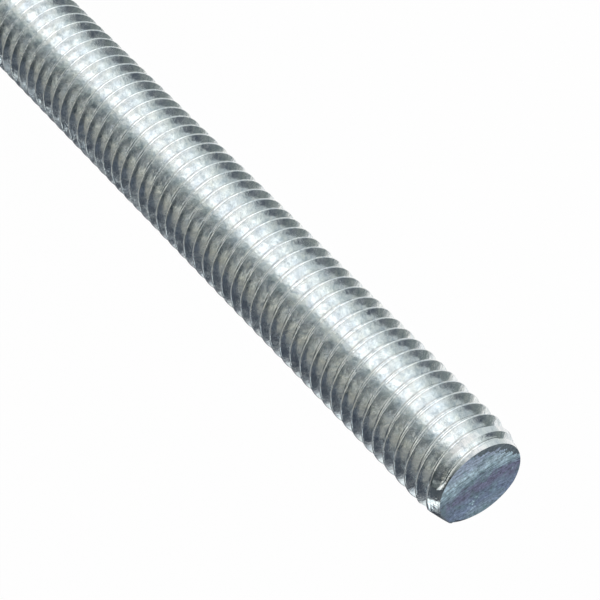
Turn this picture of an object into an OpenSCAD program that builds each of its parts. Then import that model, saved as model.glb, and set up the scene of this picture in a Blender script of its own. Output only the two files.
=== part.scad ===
/* [Rod] */
// Outside diameter, over the crests of the thread
thread_d = 8; // [6:0.5:12]
// Cut length, from one end face to the other
rod_length = 80; // [40:5:120]

/* [Thread] */
// Distance from one crest to the next, along the rod
pitch = 1.25; // [1:0.05:1.75]
// Angle between the two flanks of a groove
flank_angle = 60; // [50:1:65]
// Share of the sharp vee's height that is missing at the crest
crest_cut = 0.125; // [0.08:0.005:0.2]
// Share of the sharp vee's height that is filled in at the root
root_fill = 0.167; // [0.1:0.001:0.25]
// Height above the lower face where the first crest passes the +X side
first_crest = 0.41; // [0:0.01:1.25]

/* [Ends] */
// Width of the lower end's chamfer, measured in from the crests
chamfer = 0.65; // [0.3:0.05:1.2]
// Angle between that chamfer and the end face
chamfer_angle = 45; // [30:1:60]
// Width of the upper end's longer bevel, measured in from the crests
bevel = 0.5; // [0.3:0.05:1.2]
// How far that bevel widens for each millimetre down the rod
bevel_growth = 0.49; // [0.4:0.01:1]
// How far it moves to one side for each millimetre down the rod
bevel_lean = 0.25; // [0:0.01:0.3]
// How far to that side the upper face's edge sits already
face_lean = 0.08; // [0:0.01:0.15]
// Side it leans to, counted round the rod from +X towards +Y
lean_way = 56.5; // [0:0.5:360]

/* [Hidden] */

// Thread form: a sharp vee with its top cut off and its bottom filled in
vee_height = pitch / 2 / tan(flank_angle / 2);
crest_r = thread_d / 2;
root_r = crest_r - vee_height * (1 - crest_cut - root_fill);
crest_flat = pitch * crest_cut;
root_flat = pitch * root_fill;
flank_run = (pitch - crest_flat - root_flat) / 2;

// One turn of the form as [radius, height], from one root up to the next
turn_form = [
    [root_r, 0],
    [crest_r, flank_run],
    [crest_r, flank_run + crest_flat],
    [root_r, pitch - root_flat]
];
corners = len(turn_form);

// The screw runs on past each end face by more than one turn before the ends
// are cut, so that the cut meets a full thread
first_root = first_crest - flank_run - crest_flat / 2;
screw_low = first_root - 2 * pitch;
turns = ceil((rod_length - screw_low) / pitch + 1.1);
screw_high = screw_low + turns * pitch;

// How far the cut form stays clear of the crests between the ends, and how
// far down the bevel's cone runs to come clear of them on every side
clearance = 1;
reach = (bevel + clearance) / (bevel_growth - bevel_lean);

// Flat facets for the whole screw, shared out over its turns. Steps around
// one turn are a multiple of four, which keeps the rod's box square.
facets = 11400;
around = 4 * floor(facets / turns / corners / 2 / 4);
steps = turns * around;
top_turn = steps - around;

// Place of one corner of the form after a number of steps up the helix
function on_helix(step, corner) =
    let (turned = 360 * step / around, form = turn_form[corner])
    [
        form[0] * cos(turned),
        form[0] * sin(turned),
        screw_low + form[1] + pitch * step / around
    ];

// Its place in the list of points. The corner after the last one is the
// first corner of the turn above.
function at(step, corner) =
    corner < corners ? step * corners + corner : (step + around) * corners;

// Right-hand screw with its solid core. The side is a strip of facets for
// each stretch of the form, and a winding stair of facets closes each end.
module screw() {
    helix_points = [
        for (step = [0 : steps], corner = [0 : corners - 1]) on_helix(step, corner)
    ];
    low_centre = len(helix_points);
    high_centre = low_centre + 1;
    side = [
        for (step = [0 : top_turn - 1], corner = [0 : corners - 1])
            each [
                [at(step, corner), at(step, corner + 1), at(step + 1, corner + 1)],
                [at(step, corner), at(step + 1, corner + 1), at(step + 1, corner)]
            ]
    ];
    low_stair = [
        for (step = [0 : around - 1]) [low_centre, at(step, 0), at(step + 1, 0)]
    ];
    high_stair = [
        for (step = [top_turn : steps - 1]) [high_centre, at(step + 1, 0), at(step, 0)]
    ];
    low_riser = [for (corner = [corners : -1 : 0]) at(0, corner)];
    high_riser = [for (corner = [0 : corners]) at(top_turn, corner)];
    polyhedron(
        concat(helix_points, [[0, 0, screw_low], [0, 0, screw_high]]),
        concat(
            side, low_stair, high_stair,
            [concat(low_riser, low_centre), concat(high_riser, high_centre)]
        )
    );
}

// The form that sawing and the lower chamfer leave: a bar with a cone at its
// lower end and a flat face at each end, clear of the crests in between
module sawn_bar() {
    face_r = crest_r - chamfer;
    cone_height = (chamfer + clearance) * tan(chamfer_angle);
    rotate_extrude($fn = 96)
        polygon([
            [0, 0],
            [face_r, 0],
            [crest_r + clearance, cone_height],
            [crest_r + clearance, rod_length],
            [0, rod_length]
        ]);
}

// The upper end's bevel was ground askew: its cone leans over, so that it is
// short on the side it leans to, and long and shallow on the other. The cone
// runs on past the upper face, and a plain bar carries it to the lower end.
module leaning_bevel() {
    face_r = crest_r - bevel;
    foot_lean = face_lean + bevel_lean * reach;
    way = [cos(lean_way), sin(lean_way)];
    translate([foot_lean * way.x, foot_lean * way.y, rod_length - reach])
        multmatrix([
            [1, 0, -bevel_lean * way.x, 0],
            [0, 1, -bevel_lean * way.y, 0],
            [0, 0, 1, 0],
            [0, 0, 0, 1]
        ])
            cylinder(
                h = reach + clearance,
                r1 = face_r + bevel_growth * reach,
                r2 = face_r - bevel_growth * clearance,
                $fn = 96
            );
    translate([0, 0, -clearance])
        cylinder(h = rod_length - reach + 2 * clearance, r = crest_r + clearance, $fn = 96);
}

module threaded_rod() {
    color("silver")
        intersection() {
            screw();
            sawn_bar();
            leaning_bevel();
        }
}

threaded_rod();
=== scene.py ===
import bpy, bmesh, math
from mathutils import Matrix, Vector, noise


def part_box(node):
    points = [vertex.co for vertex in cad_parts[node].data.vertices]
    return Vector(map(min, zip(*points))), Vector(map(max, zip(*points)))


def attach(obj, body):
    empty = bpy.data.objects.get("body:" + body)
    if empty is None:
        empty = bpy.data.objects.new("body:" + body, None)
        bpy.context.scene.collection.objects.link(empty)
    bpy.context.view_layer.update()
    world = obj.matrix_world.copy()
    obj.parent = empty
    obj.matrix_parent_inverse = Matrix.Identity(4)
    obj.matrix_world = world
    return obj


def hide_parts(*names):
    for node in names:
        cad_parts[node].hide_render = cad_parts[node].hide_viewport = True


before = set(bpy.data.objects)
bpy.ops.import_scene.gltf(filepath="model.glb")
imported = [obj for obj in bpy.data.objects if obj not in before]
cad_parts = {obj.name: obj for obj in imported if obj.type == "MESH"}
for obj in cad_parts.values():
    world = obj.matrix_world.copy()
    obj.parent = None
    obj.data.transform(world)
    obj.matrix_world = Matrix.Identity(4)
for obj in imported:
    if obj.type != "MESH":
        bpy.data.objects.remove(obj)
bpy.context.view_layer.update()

# The photograph's view. The rod stands on its far end, and the camera looks down along
# it from beside its near end, with a long lens. It is rolled over, so that the rod runs
# from the upper left to the lower right.
MM = 0.001
lower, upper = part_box("threaded_rod")
aim_below_end = 21.50 * MM
sight_distance = 197.3 * MM
sight_height = math.radians(34.97)
sight_side = math.radians(-63.5)
sight_roll = math.radians(135.35)
picture_px = 600
lens_px = 2701
aim = Vector((0, 0, upper.z - aim_below_end))
towards_camera = Vector((
    math.cos(sight_height) * math.cos(sight_side),
    math.cos(sight_height) * math.sin(sight_side),
    math.sin(sight_height)))
lens = bpy.data.cameras.new("camera")
lens.sensor_width = 36
lens.lens = lens.sensor_width * lens_px / picture_px
lens.clip_start = 10 * MM
camera = bpy.data.objects.new("camera", lens)
look = towards_camera.to_track_quat("Z", "Y").to_matrix().to_4x4()
camera.matrix_world = (
    Matrix.Translation(aim + sight_distance * towards_camera)
    @ look @ Matrix.Rotation(sight_roll, 4, "Z"))
bpy.context.scene.collection.objects.link(camera)
bpy.context.scene.camera = camera
bpy.context.scene.view_settings.view_transform = "Standard"

# The rod: steel bar with a metric thread rolled on from end to end, sawn off and
# chamfered. Rolling leaves small rounds at the crests and a full round at the root. The
# upper end was chamfered askew, so its bevel is long on one side and short on the other.

# Sizes are in millimetres, and the mesh is scaled to metres last. A root passes the +X
# side at root_phase, a share of the pitch above the foot. The screw first runs on past
# each end by spare turns.
foot = lower.z / MM
top = upper.z / MM
thread_r = (upper.x - lower.x) / 2 / MM
pitch = 1.25
half_flank = math.radians(30)
crest_flat = pitch / 8
crest_round = 0.11
root_round = 0.144 * pitch
root_phase = 0.80
steps_around = 92
root_steps = 3
crest_steps = 3
spare_turns = 2
touching = 0.0005

# The bevels: radius of each face, and how fast the upper one grows and leans downwards.
foot_face_r = 3.35
face_r = 3.50
bevel_growth = 0.49
bevel_lean = 0.25
face_lean = 0.08
lean_way = math.radians(56.5)
bevel_reach = 4
clear = 1


def thread_form():
    """One pitch of the thread's section as (radius, height), from root to root."""
    vee = pitch / 2 / math.tan(half_flank)
    root_r = thread_r + crest_flat / 2 / math.tan(half_flank) - vee
    root_centre = root_r + root_round / math.sin(half_flank)
    form = []
    for i in range(root_steps + 1):
        turn = (math.pi / 2 - half_flank) * i / root_steps
        form.append((root_centre - root_round * math.cos(turn), root_round * math.sin(turn)))
    corner_z = pitch / 2 - crest_flat / 2 + crest_round * math.tan((math.pi / 2 - half_flank) / 2)
    for i in range(crest_steps + 1):
        turn = (math.pi / 2 - half_flank) * (1 - i / crest_steps)
        form.append((
            thread_r - crest_round + crest_round * math.cos(turn),
            corner_z - crest_round * math.sin(turn)))
    return form + [(r, pitch - z) for r, z in reversed(form[1:])]


turns = round((top - foot) / pitch) + 2 * spare_turns
bm = bmesh.new()
chain = [
    bm.verts.new((r, 0, (turn - spare_turns + root_phase) * pitch + z + foot))
    for turn in range(turns) for r, z in thread_form()]
edges = [bm.edges.new(pair) for pair in zip(chain, chain[1:])]
bmesh.ops.spin(
    bm, geom=chain + edges, cent=(0, 0, 0), axis=(0, 0, 1),
    dvec=(0, 0, pitch / steps_around), angle=2 * math.pi, steps=steps_around)
bmesh.ops.remove_doubles(bm, verts=bm.verts, dist=touching)

# Level ways from the rod: towards the camera, and towards the picture's upper right. A
# place round the rod is an angle in degrees from the first, positive towards the second.
front_way = Vector((math.cos(sight_side), math.sin(sight_side), 0))
side_way = Vector((math.sin(sight_side), -math.cos(sight_side), 0))


def place_of(spot):
    """The place round the rod of a spot on it."""
    return math.degrees(math.atan2(spot.dot(side_way), spot.dot(front_way)))


# Dressing the left side of the upper end rolled the last crest over, so that its groove
# is closed there, with a fade at either side. The crest ends at crest_depth below the
# face at place 0, and deeper the further round it is.
rolled_from, rolled_to, rolled_fade = -114, -32, 14
crest_depth = 1.0856
for v in bm.verts:
    place = place_of(v.co)
    rolled = min((place - rolled_from) / rolled_fade, (rolled_to - place) / rolled_fade, 1)
    if top - v.co.z < crest_depth + place / 360 * pitch and rolled > 0:
        v.co.xy *= 1 + rolled * (thread_r / v.co.xy.length - 1)
for height, way in ((foot - pitch / 2, -1), (top + pitch / 2, 1)):
    cut = bmesh.ops.bisect_plane(
        bm, geom=bm.verts[:] + bm.edges[:] + bm.faces[:], dist=1e-6,
        plane_co=(0, 0, height), plane_no=(0, 0, way), clear_outer=True)
    rim = [e for e in cut["geom_cut"] if isinstance(e, bmesh.types.BMEdge)]
    bmesh.ops.contextual_create(bm, geom=rim)
bmesh.ops.recalc_face_normals(bm, faces=bm.faces)
rod_mesh = bpy.data.meshes.new("threaded_rod_surface")
bm.to_mesh(rod_mesh)
bm.free()
rod = bpy.data.objects.new("threaded_rod_surface", rod_mesh)
bpy.context.scene.collection.objects.link(rod)


def out_at(place):
    """The level direction away from the rod's axis at a place round it."""
    turned = math.radians(place)
    return math.cos(turned) * front_way + math.sin(turned) * side_way


# What the ends are cut to: a bar with a plain chamfer at the foot and the leaning
# bevel at the top, with one more stroke of the file down the bevel's left side.
bm = bmesh.new()
outline = [
    (0, foot), (foot_face_r, foot), (thread_r + clear, foot + thread_r + clear - foot_face_r),
    (face_r + bevel_growth * bevel_reach, top - bevel_reach), (face_r, top), (0, top)]
chain = [bm.verts.new((r, 0, z)) for r, z in outline]
edges = [bm.edges.new(pair) for pair in zip(chain, chain[1:])]
bmesh.ops.spin(
    bm, geom=chain + edges, cent=(0, 0, 0), axis=(0, 0, 1),
    angle=2 * math.pi, steps=2 * steps_around, use_merge=True)
bmesh.ops.remove_doubles(bm, verts=bm.verts, dist=touching)
for v in bm.verts:
    depth = top - v.co.z
    if depth < bevel_reach + clear:
        lean = face_lean + bevel_lean * depth
        v.co += Vector((lean * math.cos(lean_way), lean * math.sin(lean_way), 0))
bmesh.ops.recalc_face_normals(bm, faces=bm.faces)
stroke_place, stroke_r = -98, face_r + 0.07
stroke_rise = math.radians(8)
stroke_way = out_at(stroke_place)
bmesh.ops.bisect_plane(
    bm, geom=bm.verts[:] + bm.edges[:] + bm.faces[:], dist=touching, clear_outer=True,
    plane_co=stroke_r * stroke_way + Vector((0, 0, top)),
    plane_no=math.cos(stroke_rise) * stroke_way + Vector((0, 0, math.sin(stroke_rise))))
bmesh.ops.holes_fill(bm, edges=[e for e in bm.edges if e.is_boundary])
bmesh.ops.recalc_face_normals(bm, faces=bm.faces)
end_mesh = bpy.data.meshes.new("cut_ends")
bm.to_mesh(end_mesh)
bm.free()
cut_ends = bpy.data.objects.new("cut_ends", end_mesh)
bpy.context.scene.collection.objects.link(cut_ends)


def bake(piece):
    """Apply the piece's modifiers to its mesh."""
    bpy.context.view_layer.update()
    solid = piece.evaluated_get(bpy.context.evaluated_depsgraph_get())
    mesh = bpy.data.meshes.new_from_object(solid)
    piece.modifiers.clear()
    piece.data = mesh


trim = rod.modifiers.new("cut ends", "BOOLEAN")
trim.operation = "INTERSECT"
trim.solver = "EXACT"
trim.object = cut_ends
bake(rod)
bpy.data.objects.remove(cut_ends)

# The upper face is as the saw left it: not quite flat, with a crescent on one side
# where the last of the steel tore away instead of being cut.
tear_from, tear_to, tear_width, tear_depth = 14, 106, 0.8, 0.03
tear_jag_size = 0.35
tear_slope_width = 0.3
sag_depth = 0.012
sag_size = 1.3
face_grid = 0.13
sharp_edge = math.radians(35)
bm = bmesh.new()
bm.from_mesh(rod.data)
sawn = [f for f in bm.faces if f.normal.z > 0.99 and f.calc_center_median().z > top - 0.001]
cut = sawn + list(dict.fromkeys(e for f in sawn for e in f.edges))
cut += list(dict.fromkeys(v for f in sawn for v in f.verts))
for way in (front_way, side_way):
    for i in range(-int(face_r / face_grid) - 1, int(face_r / face_grid) + 2):
        cut = bmesh.ops.bisect_plane(
            bm, geom=cut, dist=touching, plane_co=way * (i + 0.5) * face_grid, plane_no=way)["geom"]
sawn = dict.fromkeys(f for f in cut if isinstance(f, bmesh.types.BMFace))


def tear_at(spot):
    """How far inside the torn crescent a spot on the upper face lies, in mm."""
    share = min(max((place_of(spot) - tear_from) / (tear_to - tear_from), 0), 1)
    swell = math.sin(math.pi * share)
    jag = noise.noise(
        Vector((spot.dot(side_way) / tear_jag_size, spot.dot(front_way) / tear_jag_size, 9)))
    ragged = 0.9 + 0.6 * jag
    return spot.xy.length - face_r + tear_width * math.sqrt(swell) * ragged


for f in sawn:
    f.material_index = 2 if tear_at(f.calc_center_median()) > 0 else 1
face_verts = dict.fromkeys(v for f in sawn for v in f.verts)
for v in face_verts:
    if all(f in sawn for f in v.link_faces):
        sag = 1 + noise.noise(Vector((v.co.x / sag_size, v.co.y / sag_size, 3)))
        torn = min(max(tear_at(v.co) / tear_slope_width, 0), 1)
        v.co.z -= sag_depth * sag + tear_depth * torn
bm.to_mesh(rod.data)
bm.free()
rod.data.shade_smooth()
rod.data.set_sharp_from_angle(angle=sharp_edge)
true_flanks = rod.modifiers.new("true flanks", "WEIGHTED_NORMAL")
true_flanks.weight = 100
true_flanks.thresh = 0.02
true_flanks.keep_sharp = True
bake(rod)
rod.data.transform(Matrix.Scale(MM, 4))


def srgb(hex_colour):
    """A colour written as #rrggbb, as linear values with full alpha."""
    parts = [int(hex_colour[i:i + 2], 16) / 255 for i in (1, 3, 5)]
    return [v / 12.92 if v <= 0.04045 else ((v + 0.055) / 1.055) ** 2.4 for v in parts] + [1]


def add_node(owner, kind, settings, values, links):
    """A node with its settings and input values, and inputs linked from other outputs."""
    node = owner.node_tree.nodes.new(kind)
    for name, value in settings.items():
        setattr(node, name, value)
    for name, value in values.items():
        node.inputs[name].default_value = value
    for name, source in links.items():
        owner.node_tree.links.new(source, node.inputs[name])
    return node


# Bright zinc on rolled steel: a mirror with a fine orange peel, so that reflections
# break up into small blotches. It has duller and yellower patches, grey specks drawn out
# along the rod, and nicks on the crests. Sizes are in millimetres.
peel_size, peel_height = 0.30, 0.018
nick_size, nicks_from, nicks_to = 0.16, thread_r - 0.08, thread_r - 0.02
dull_size = 0.9
patch_size = 1.1
speck_size, speck_stretch = 0.33, 0.35
zinc = bpy.data.materials.new("zinc_plated_steel_rolled")
zinc.use_nodes = True
shader = zinc.node_tree.nodes["Principled BSDF"]
shader.inputs["Metallic"].default_value = 1
on_rod = add_node(zinc, "ShaderNodeTexCoord", {}, {}, {}).outputs["Object"]
peel = add_node(
    zinc, "ShaderNodeTexNoise", {}, {"Scale": 1 / (peel_size * MM), "Detail": 3, "Roughness": 0.5},
    {"Vector": on_rod})
flat_place = add_node(
    zinc, "ShaderNodeVectorMath", {"operation": "MULTIPLY"}, {1: (1, 1, 0)}, {0: on_rod})
radius = add_node(
    zinc, "ShaderNodeVectorMath", {"operation": "LENGTH"}, {}, {0: flat_place.outputs[0]})
crest = add_node(
    zinc, "ShaderNodeMapRange", {},
    {"From Min": nicks_from * MM, "From Max": nicks_to * MM, "To Max": 0.8},
    {"Value": radius.outputs["Value"]})
nicks = add_node(
    zinc, "ShaderNodeTexNoise", {}, {"Scale": 1 / (nick_size * MM), "Detail": 1},
    {"Vector": on_rod})
relief = add_node(
    zinc, "ShaderNodeMath", {"operation": "MULTIPLY_ADD"}, {},
    {0: nicks.outputs["Fac"], 1: crest.outputs[0], 2: peel.outputs["Fac"]})
bump = add_node(
    zinc, "ShaderNodeBump", {}, {"Strength": 1, "Distance": peel_height * MM},
    {"Height": relief.outputs[0]})
waves = add_node(
    zinc, "ShaderNodeTexNoise", {}, {"Scale": 1 / (dull_size * MM), "Detail": 2},
    {"Vector": on_rod})
dull = add_node(
    zinc, "ShaderNodeMapRange", {},
    {"From Min": 0.35, "From Max": 0.65, "To Min": 0.15, "To Max": 0.28},
    {"Value": waves.outputs["Fac"]})
patches = add_node(
    zinc, "ShaderNodeTexNoise", {}, {"Scale": 1 / (patch_size * MM), "Detail": 1},
    {"Vector": on_rod})
tint = add_node(
    zinc, "ShaderNodeMix", {"data_type": "RGBA"}, {6: srgb("#eaeef4"), 7: srgb("#f4f3ec")},
    {0: patches.outputs["Fac"]})
along_rod = add_node(
    zinc, "ShaderNodeVectorMath", {"operation": "MULTIPLY"}, {1: (1, 1, speck_stretch)},
    {0: on_rod})
specks = add_node(
    zinc, "ShaderNodeTexNoise", {}, {"Scale": 1 / (speck_size * MM), "Detail": 3, "Roughness": 0.6},
    {"Vector": along_rod.outputs[0]})
cloud = add_node(
    zinc, "ShaderNodeMapRange", {},
    {"From Min": 0.34, "From Max": 0.55, "To Min": 0.5, "To Max": 0.0},
    {"Value": specks.outputs["Fac"]})
clouded = add_node(
    zinc, "ShaderNodeMix", {"data_type": "RGBA"}, {7: srgb("#b4bfc8")},
    {0: cloud.outputs[0], 6: tint.outputs[2]})
zinc.node_tree.links.new(clouded.outputs[2], shader.inputs["Base Color"])
zinc.node_tree.links.new(dull.outputs[0], shader.inputs["Roughness"])
zinc.node_tree.links.new(bump.outputs[0], shader.inputs["Normal"])

# The sawn face: dull steel under a thin blue-grey zinc. The blade went through on a wide
# arc and left streaks and bands round that arc's centre, purplish, blue and green. Near
# the front edge they are painted paler, a painted highlight where the light falls. It is
# stained, and one spot has a painted highlight on it.

# Sizes are in millimetres. Each band's colour is listed by its distance from the centre.
saw_centre = -12 * (0.416 * side_way + 0.909 * front_way)
mark_width, marks_per_radian, mark_height = 0.10, 8, 0.012
wander_size = 1.2
band_from, band_to, band_wander = 8.4, 15.6, 0.3
# The pale colours from 13.1 mm outwards are a painted highlight towards the front edge.
band_and_highlight_colours = {
    8.5: "#93a7ac", 9.4: "#8b9aa8", 10.2: "#7f8ca3", 11.0: "#7b8799", 11.6: "#76748b",
    12.2: "#797a90", 12.7: "#8596a0", 13.1: "#a9bcc2", 13.6: "#bfd0d5", 14.1: "#a6b5c0",
    14.7: "#b2bbca", 15.4: "#98a3b4"}
scuff_size = 0.22
stain_size = 0.9
# A painted highlight: a pale teal patch on the face round this centre, broken up by the scuffs.
highlight_centre, highlight_reach = -1.3 * side_way - 1.3 * front_way, 1.1
sawn_end = bpy.data.materials.new("zinc_plated_steel_sawn")
sawn_end.use_nodes = True
shader = sawn_end.node_tree.nodes["Principled BSDF"]
shader.inputs["Metallic"].default_value = 1
shader.inputs["Roughness"].default_value = 0.32
on_rod = add_node(sawn_end, "ShaderNodeTexCoord", {}, {}, {}).outputs["Object"]
from_saw = add_node(
    sawn_end, "ShaderNodeVectorMath", {"operation": "SUBTRACT"},
    {1: saw_centre * MM + Vector((0, 0, upper.z))}, {0: on_rod})
out_from_saw = add_node(
    sawn_end, "ShaderNodeVectorMath", {"operation": "LENGTH"}, {}, {0: from_saw.outputs[0]})
spread = add_node(sawn_end, "ShaderNodeSeparateXYZ", {}, {}, {0: from_saw.outputs[0]})
round_saw = add_node(
    sawn_end, "ShaderNodeMath", {"operation": "ARCTAN2"}, {},
    {0: spread.outputs["Y"], 1: spread.outputs["X"]})
arc = add_node(
    sawn_end, "ShaderNodeCombineXYZ", {}, {},
    {0: out_from_saw.outputs["Value"], 1: round_saw.outputs[0]})
marks_at = add_node(
    sawn_end, "ShaderNodeVectorMath", {"operation": "MULTIPLY"},
    {1: (1 / (mark_width * MM), marks_per_radian, 0)}, {0: arc.outputs[0]})
marks = add_node(
    sawn_end, "ShaderNodeTexNoise", {}, {"Scale": 1, "Detail": 4, "Roughness": 0.68},
    {"Vector": marks_at.outputs[0]})
wander = add_node(
    sawn_end, "ShaderNodeTexNoise", {},
    {"Scale": 1 / (wander_size * MM), "Detail": 3, "Roughness": 0.6}, {"Vector": on_rod})
streaky = add_node(
    sawn_end, "ShaderNodeMath", {"operation": "ADD"}, {},
    {0: marks.outputs["Fac"], 1: wander.outputs["Fac"]})
shift = add_node(
    sawn_end, "ShaderNodeMapRange", {},
    {"From Max": 2, "To Min": -band_wander, "To Max": band_wander},
    {"Value": streaky.outputs[0]})
band_at = add_node(
    sawn_end, "ShaderNodeMapRange", {}, {"From Min": band_from * MM, "From Max": band_to * MM},
    {"Value": out_from_saw.outputs["Value"]})
shifted = add_node(
    sawn_end, "ShaderNodeMath", {"operation": "ADD"}, {},
    {0: shift.outputs[0], 1: band_at.outputs[0]})
# The bands' colours carry the painted highlight near the front edge as well as the saw's bands.
bands_and_highlight = add_node(sawn_end, "ShaderNodeValToRGB", {}, {}, {0: shifted.outputs[0]})
for out, colour in band_and_highlight_colours.items():
    stop = bands_and_highlight.color_ramp.elements.new((out - band_from) / (band_to - band_from))
    stop.color = srgb(colour)
bands_and_highlight.color_ramp.elements.remove(bands_and_highlight.color_ramp.elements[-1])
bands_and_highlight.color_ramp.elements.remove(bands_and_highlight.color_ramp.elements[0])
scored = add_node(
    sawn_end, "ShaderNodeBump", {}, {"Strength": 1, "Distance": mark_height * MM},
    {"Height": marks.outputs["Fac"]})
scuffs = add_node(
    sawn_end, "ShaderNodeTexNoise", {},
    {"Scale": 1 / (scuff_size * MM), "Detail": 4, "Roughness": 0.7}, {"Vector": on_rod})
both = add_node(
    sawn_end, "ShaderNodeMath", {"operation": "ADD"}, {},
    {0: scuffs.outputs["Fac"], 1: marks.outputs["Fac"]})
shade = add_node(
    sawn_end, "ShaderNodeMapRange", {},
    {"From Min": 0.78, "From Max": 1.22, "To Min": 0.42, "To Max": 1.6},
    {"Value": both.outputs[0]})
stains = add_node(
    sawn_end, "ShaderNodeTexNoise", {},
    {"Scale": 1 / (stain_size * MM), "Detail": 3, "Roughness": 0.7}, {"Vector": on_rod})
stain = add_node(
    sawn_end, "ShaderNodeMapRange", {},
    {"From Min": 0.5, "From Max": 0.66, "To Max": 0.75}, {"Value": stains.outputs["Fac"]})
stained = add_node(
    sawn_end, "ShaderNodeMix", {"data_type": "RGBA"}, {7: srgb("#6d8587")},
    {0: stain.outputs[0], 6: bands_and_highlight.outputs[0]})
# The painted highlight: near its centre the colour is mixed towards pale teal.
from_highlight = add_node(
    sawn_end, "ShaderNodeVectorMath", {"operation": "DISTANCE"},
    {1: highlight_centre * MM + Vector((0, 0, upper.z))}, {0: on_rod})
near_highlight = add_node(
    sawn_end, "ShaderNodeMapRange", {},
    {"From Max": highlight_reach * MM, "To Min": 0.16, "To Max": 0},
    {"Value": from_highlight.outputs["Value"]})
highlight_with_scuffs = add_node(
    sawn_end, "ShaderNodeMath", {"operation": "ADD"}, {},
    {0: near_highlight.outputs[0], 1: scuffs.outputs["Fac"]})
highlight_mask = add_node(
    sawn_end, "ShaderNodeMapRange", {}, {"From Min": 0.66, "From Max": 0.78},
    {"Value": highlight_with_scuffs.outputs[0]})
painted_highlight = add_node(
    sawn_end, "ShaderNodeMix", {"data_type": "RGBA"}, {7: srgb("#bcd2d6")},
    {0: highlight_mask.outputs[0], 6: stained.outputs[2]})
scuffed = add_node(
    sawn_end, "ShaderNodeVectorMath", {"operation": "SCALE"}, {},
    {0: painted_highlight.outputs[2], "Scale": shade.outputs[0]})
sawn_end.node_tree.links.new(scuffed.outputs[0], shader.inputs["Base Color"])
sawn_end.node_tree.links.new(scored.outputs[0], shader.inputs["Normal"])

# The torn crescent is bare, coarse-grained steel with no blade marks on it, so it looks
# darker and duller than the sawn face. The grain's size is in millimetres.
grain_size = 0.18
torn_end = bpy.data.materials.new("steel_torn")
torn_end.use_nodes = True
shader = torn_end.node_tree.nodes["Principled BSDF"]
shader.inputs["Metallic"].default_value = 1
shader.inputs["Roughness"].default_value = 0.42
on_rod = add_node(torn_end, "ShaderNodeTexCoord", {}, {}, {}).outputs["Object"]
grain = add_node(
    torn_end, "ShaderNodeTexNoise", {}, {"Scale": 1 / (grain_size * MM), "Detail": 3},
    {"Vector": on_rod})
skin = add_node(
    torn_end, "ShaderNodeMix", {"data_type": "RGBA"}, {6: srgb("#302f4a"), 7: srgb("#8f9c99")},
    {0: grain.outputs["Fac"]})
torn_end.node_tree.links.new(skin.outputs[2], shader.inputs["Base Color"])
for finish in (zinc, sawn_end, torn_end):
    rod.data.materials.append(finish)
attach(rod, "root")
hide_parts("threaded_rod")

# A few chips of the burr still hang on the near edge of the upper face: ragged, curled
# flakes of steel that the plating left creamy, so that they show as pale specks beside
# the dark bevel. Sizes are in millimetres, and each chip is listed by its place.
chip_sizes = {-41: 0.09, -36: 0.12, -31: 0.08, -26: 0.11, -21: 0.07}
chip_out, chip_below_face = 0.02, 0.16
chip_thickness, chip_length, chip_height, chip_curl = 0.55, 1.3, 0.6, 1.5
rag_share, rag_size = 0.8, 0.09
cream_size = 0.15
chips_mesh = bpy.data.meshes.new("burr_chips")


def along_at(place):
    """The level direction round the rod at a place, towards higher places."""
    turned = math.radians(place)
    return math.cos(turned) * side_way - math.sin(turned) * front_way


bm = bmesh.new()
for place, size in chip_sizes.items():
    chip = bmesh.ops.create_icosphere(bm, subdivisions=2, radius=size)["verts"]
    for v in chip:
        ragged = 1 + rag_share * noise.noise(v.co / rag_size + Vector((place, 0, 0)))
        flake = v.co * ragged
        out = face_r + chip_out + chip_thickness * flake.x - chip_curl * flake.y ** 2
        v.co = (
            out * out_at(place) + chip_length * flake.y * along_at(place)
            + Vector((0, 0, top - chip_below_face + chip_height * flake.z)))
bmesh.ops.recalc_face_normals(bm, faces=bm.faces)
bm.to_mesh(chips_mesh)
bm.free()
chips_mesh.transform(Matrix.Scale(MM, 4))
chips_mesh.shade_smooth()
chips = bpy.data.objects.new("burr_chips", chips_mesh)
bpy.context.scene.collection.objects.link(chips)
chip_steel = bpy.data.materials.new("zinc_yellowed_steel")
chip_steel.use_nodes = True
shader = chip_steel.node_tree.nodes["Principled BSDF"]
shader.inputs["Metallic"].default_value = 1
shader.inputs["Roughness"].default_value = 0.35
on_rod = add_node(chip_steel, "ShaderNodeTexCoord", {}, {}, {}).outputs["Object"]
cream = add_node(
    chip_steel, "ShaderNodeTexNoise", {}, {"Scale": 1 / (cream_size * MM), "Detail": 2},
    {"Vector": on_rod})
skin = add_node(
    chip_steel, "ShaderNodeMix", {"data_type": "RGBA"}, {6: srgb("#c9c6c2"), 7: srgb("#fffef8")},
    {0: cream.outputs["Fac"]})
chip_steel.node_tree.links.new(skin.outputs[2], shader.inputs["Base Color"])
chips.data.materials.append(chip_steel)
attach(chips, "root")

# The studio: a plain white floor under a white surround, which camera, gloss and glass
# see as white while they light the rod at a plain level.
floor_reach = 3
floor_mesh = bpy.data.meshes.new("floor")
bm = bmesh.new()
bmesh.ops.create_grid(bm, x_segments=1, y_segments=1, size=floor_reach)
bm.to_mesh(floor_mesh)
bm.free()
floor = bpy.data.objects.new("floor", floor_mesh)
bpy.context.scene.collection.objects.link(floor)


def seen_rays(owner):
    """1 for what the camera sees, itself or in gloss or through glass, and 0 for light."""
    path = add_node(owner, "ShaderNodeLightPath", {}, {}, {})
    seen = path.outputs["Is Camera Ray"]
    for ray in ("Is Glossy Ray", "Is Transmission Ray"):
        either = add_node(
            owner, "ShaderNodeMath", {"operation": "MAXIMUM"}, {}, {0: seen, 1: path.outputs[ray]})
        seen = either.outputs[0]
    return seen


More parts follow.
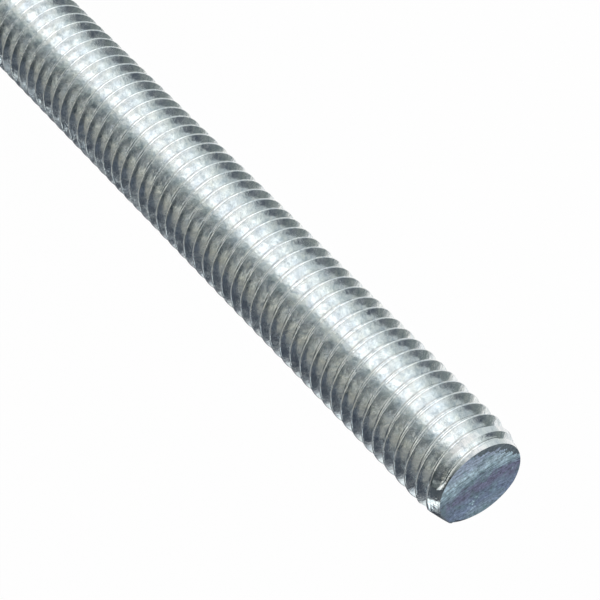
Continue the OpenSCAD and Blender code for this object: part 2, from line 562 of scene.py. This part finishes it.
# Matt white paint. A share of it shows as plain white, which keeps the rod's shadow pale.
always_white = 0.85
white = bpy.data.materials.new("floor_white")
white.use_nodes = True
matt = white.node_tree.nodes["Principled BSDF"]
matt.inputs["Base Color"].default_value = srgb("#fafafa")
matt.inputs["Roughness"].default_value = 1
matt.inputs["Specular IOR Level"].default_value = 0
glow = add_node(white, "ShaderNodeEmission", {}, {"Strength": 1}, {})
share = add_node(
    white, "ShaderNodeMath", {"operation": "MULTIPLY"}, {1: always_white},
    {0: seen_rays(white)})
mix = add_node(
    white, "ShaderNodeMixShader", {}, {},
    {"Fac": share.outputs[0], 1: matt.outputs[0], 2: glow.outputs[0]})
surface = white.node_tree.nodes["Material Output"].inputs["Surface"]
white.node_tree.links.new(mix.outputs[0], surface)
floor.data.materials.append(white)

world = bpy.data.worlds.new("studio")
bpy.context.scene.world = world
world.use_nodes = True
surround = world.node_tree.nodes["Background"]
surround.inputs["Color"].default_value = (1, 1, 1, 1)
level = add_node(
    world, "ShaderNodeMapRange", {}, {"To Min": 0.75, "To Max": 1}, {"Value": seen_rays(world)})
world.node_tree.links.new(level.outputs[0], surround.inputs["Strength"])


# Grey, black and white cards stand and lie round the rod for the metal to mirror. They glow
# in fixed colours instead of being lit, and only gloss sees them, so that they light nothing
# and stay out of the picture.
def way_to(side, height):
    """A direction from the rod: its place round the rod and its height up from level."""
    up = math.radians(height)
    return math.cos(up) * out_at(side) + Vector((0, 0, math.sin(up)))


def mirrored(place, lean):
    """The direction that a flank mirrors to the camera, at a place round the rod, when its
    normal leans that many degrees off the rod's axis."""
    mid_flank_r = thread_r - 0.4
    rise = pitch / (2 * math.pi * mid_flank_r)
    across = (Vector((0, 0, 1)) + rise * along_at(place)).normalized()
    tilt = math.radians(lean)
    normal = math.sin(tilt) * out_at(place) + math.cos(tilt) * across
    return 2 * normal.dot(towards_camera) * normal - towards_camera


def add_card(name, colour, bright, rows, spot_at):
    """A sheet of card that glows in one even colour, which the metal mirrors as it is written.
    spot_at gives where a point of it goes, from the share of the sheet's width and of
    its height at which the point lies. Its height is made of rows, and its width of 8."""
    mesh = bpy.data.meshes.new(name)
    bm = bmesh.new()
    bmesh.ops.create_grid(bm, x_segments=8, y_segments=rows, size=0.5)
    for v in bm.verts:
        v.co = spot_at(v.co.x + 0.5, v.co.y + 0.5)
    bm.to_mesh(mesh)
    bm.free()
    card = bpy.data.objects.new(name, mesh)
    bpy.context.scene.collection.objects.link(card)
    paint = bpy.data.materials.new(name)
    paint.use_nodes = True
    paint.node_tree.nodes.clear()
    glow = add_node(
        paint, "ShaderNodeEmission", {}, {"Color": srgb(colour), "Strength": bright}, {})
    add_node(paint, "ShaderNodeOutputMaterial", {}, {}, {"Surface": glow.outputs[0]})
    card.data.materials.append(paint)
    card.visible_camera = False
    card.visible_diffuse = False
    card.visible_shadow = False
    card.visible_transmission = False


# Two hoops of cards stand over the rod: one where its flanks mirror it, and one further
# out, for where the flanks round over to the crests. Each card has a colour for either
# hoop, a brightness, and the places round the rod between which it shows.
hoop_cards = {
    "white_card_left": ("#f3fbfd", "#f3fbfd", 1.12, -104, -86),
    "black_card_edge": ("#7d8288", "#6a6e72", 1, -86, -81),
    "black_card": ("#474d56", "#54585d", 1, -81, -51),
    "black_card_upper": ("#58616c", "#4d545a", 1, -51, -37),
    "dark_card": ("#40474b", "#3c4245", 1, -37, -27),
    "dark_card_middle": ("#434a4e", "#40474a", 1, -27, -18),
    "dark_card_upper": ("#6c7577", "#5c6465", 1, -18, -10),
    "grey_card_top": ("#9aa6a5", "#8e9796", 1, -10, -3),
    "pale_card_top": ("#bfc8c5", "#b0b7b4", 1, -3, 3),
    "white_card_top": ("#fafbfa", "#d8d9d7", 1, 3, 14),
    "seam_card_right": ("#c3c9c8", "#bcc2c1", 1, 14, 20),
    "pale_card_right": ("#eaf0f0", "#dce0de", 1, 20, 33),
    "grey_card_right": ("#ced8d8", "#b0b7b6", 1, 33, 39),
    "grey_card_right_lower": ("#b1bcbd", "#8a9191", 1, 39, 45.5),
    "dark_card_right": ("#4f5661", "#646b6f", 1, 45.5, 61),
    "dark_card_right_edge": ("#747e7e", "#757d7d", 1, 61, 76),
    "grey_card_right_edge": ("#8a9494", "#8a9494", 1, 76, 86),
    "white_card_right": ("#fffffd", "#fffffd", 1.18, 86, 110),
}
hoop_distance = 650 * MM

# The lean of the surface that mirrors a hoop's middle, and the hoop's width as a lean.
hoop_lean, hoop_width = 27, 22
outer_lean, outer_width = 56.5, 37
for name, (colour, outer_colour, bright, first, last) in hoop_cards.items():
    for hoop, lean, width, shade in (
            ("", hoop_lean, hoop_width, colour),
            ("_outer", outer_lean, outer_width, outer_colour)):
        add_card(
            name + hoop, shade, bright, 8,
            lambda across, up: aim + hoop_distance * mirrored(
                first + across * (last - first), lean + width * (up - 0.5)))

# Sheets of card lie on the floor round the rod, and screens stand at their outer edge.
# Each pair has the sheet's colour and brightness, the screen's colour and brightness,
# its left and right place, and the height of the screen's edge in degrees.
low_cards = {
    "dark_left": ("#4a4d54", 1, "#4a4d54", 1, -193, -124, 2),
    "left": ("#a0a4a6", 1, "#ecf8fb", 1.8, -124, -99, 30),
    "warm_left": ("#a0a4a4", 1, "#aaaba6", 1, -99, -82, 16),
    "warm": ("#989a95", 1, "#b0b1ac", 1, -82, -60, 12),
    "green": ("#8b928e", 1, "#f4f4ea", 1.4, -60, -46, 4),
    "grey": ("#757b7d", 1, "#f4f6f0", 1.7, -46, -34, 3),
    "dark": ("#596165", 1, "#f6f8f4", 1.9, -34, -18, 3),
    "grey_front": ("#6c7a7e", 1, "#f6f8f6", 1.4, -18, -12, 3),
    "pale_front": ("#97a5a7", 1, "#f6f8f6", 1.3, -12, -6, 3),
    "paler_front": ("#b4c0c0", 1, "#f6f8f6", 1.2, -6, 0, 3),
    "palest_front": ("#c9d4d4", 1, "#f6f7f6", 1, 0, 5, 3),
    "white_front": ("#eef8f8", 1.15, "#ffffff", 1, 5, 10, 3),
    "white": ("#fcfeff", 1.85, "#ffffff", 1, 10, 37, 8),
    "seam": ("#cfd9da", 1, "#ffffff", 1, 37, 46, 22),
    "white_right": ("#f8feff", 1.75, "#ffffff", 1, 46, 64, 22),
    "pale_right": ("#f0faf9", 1.2, "#e6edee", 1.1, 64, 77, 20),
    "pale_far_right": ("#d4dedf", 1, "#d4dedf", 1, 77, 90, 20),
    "grey_right": ("#c6cfd1", 1, "#cdd6d8", 1, 90, 122, 20),
}
sheet_from, sheet_to = 6 * MM, 260 * MM
sheet_lift = Vector((0, 0, 0.4 * MM))
for name, (colour, bright, screen_colour, screen_bright, left, right, height) in low_cards.items():
    screen_top = Vector((0, 0, aim.z + sheet_to * math.tan(math.radians(height))))
    add_card(
        "sheet_" + name, colour, bright, 1,
        lambda across, up: sheet_lift + out_at(left + across * (right - left)) * (
            sheet_from + up * (sheet_to - sheet_from)))
    add_card(
        "screen_" + name, screen_colour, screen_bright, 1,
        lambda across, up: sheet_to * out_at(left + across * (right - left)) + (
            sheet_lift.lerp(screen_top, up)))

# Two dark shade cards stand before the screens on the left, where the upper end's bevel
# mirrors them. Each has its left and right place, and its lower and upper height.
shade_cards = {
    "shade_left": (-178, -97, -12, 12.5),
    "shade_left_front": (-97, -70, 3, 17),
}
shade_distance = 250 * MM
for name, (left, right, low, high) in shade_cards.items():
    add_card(
        name, "#3a424e", 1, 2,
        lambda across, up: aim + shade_distance * way_to(
            left + across * (right - left), low + up * (high - low)))

# A graded card behind the rod, which the sawn face mirrors: pale below, dark above.
# Each strip has its colour, and its lower and upper height in degrees.
end_card_strips = [
    ("#f0f5f7", 4, 20), ("#dbe2e8", 20, 30), ("#cad1db", 30, 40), ("#b7bfcb", 40, 50),
    ("#9aa2b0", 50, 72)]
end_card_distance = 300 * MM
end_card_from, end_card_to = 155, 205
for i, (colour, low, high) in enumerate(end_card_strips):
    add_card(
        "end_card_%d" % i, colour, 1, 2,
        lambda across, up: aim + end_card_distance * way_to(
            end_card_from + across * (end_card_to - end_card_from), low + up * (high - low)))

# One soft box hangs over the rod and a little to its right. It gives the plain light
# that the rod's soft shadow comes from.
box_way = way_to(98, 76)
box_distance = 900 * MM
box_light = bpy.data.lights.new("soft_box", "AREA")
box_light.shape = "RECTANGLE"
box_light.size = 500 * MM
box_light.size_y = 450 * MM
box_light.energy = 2.4
soft_box = bpy.data.objects.new("soft_box", box_light)
soft_box.matrix_world = (
    Matrix.Translation(aim + box_distance * box_way)
    @ box_way.to_track_quat("Z", "Y").to_matrix().to_4x4())
bpy.context.scene.collection.objects.link(soft_box)
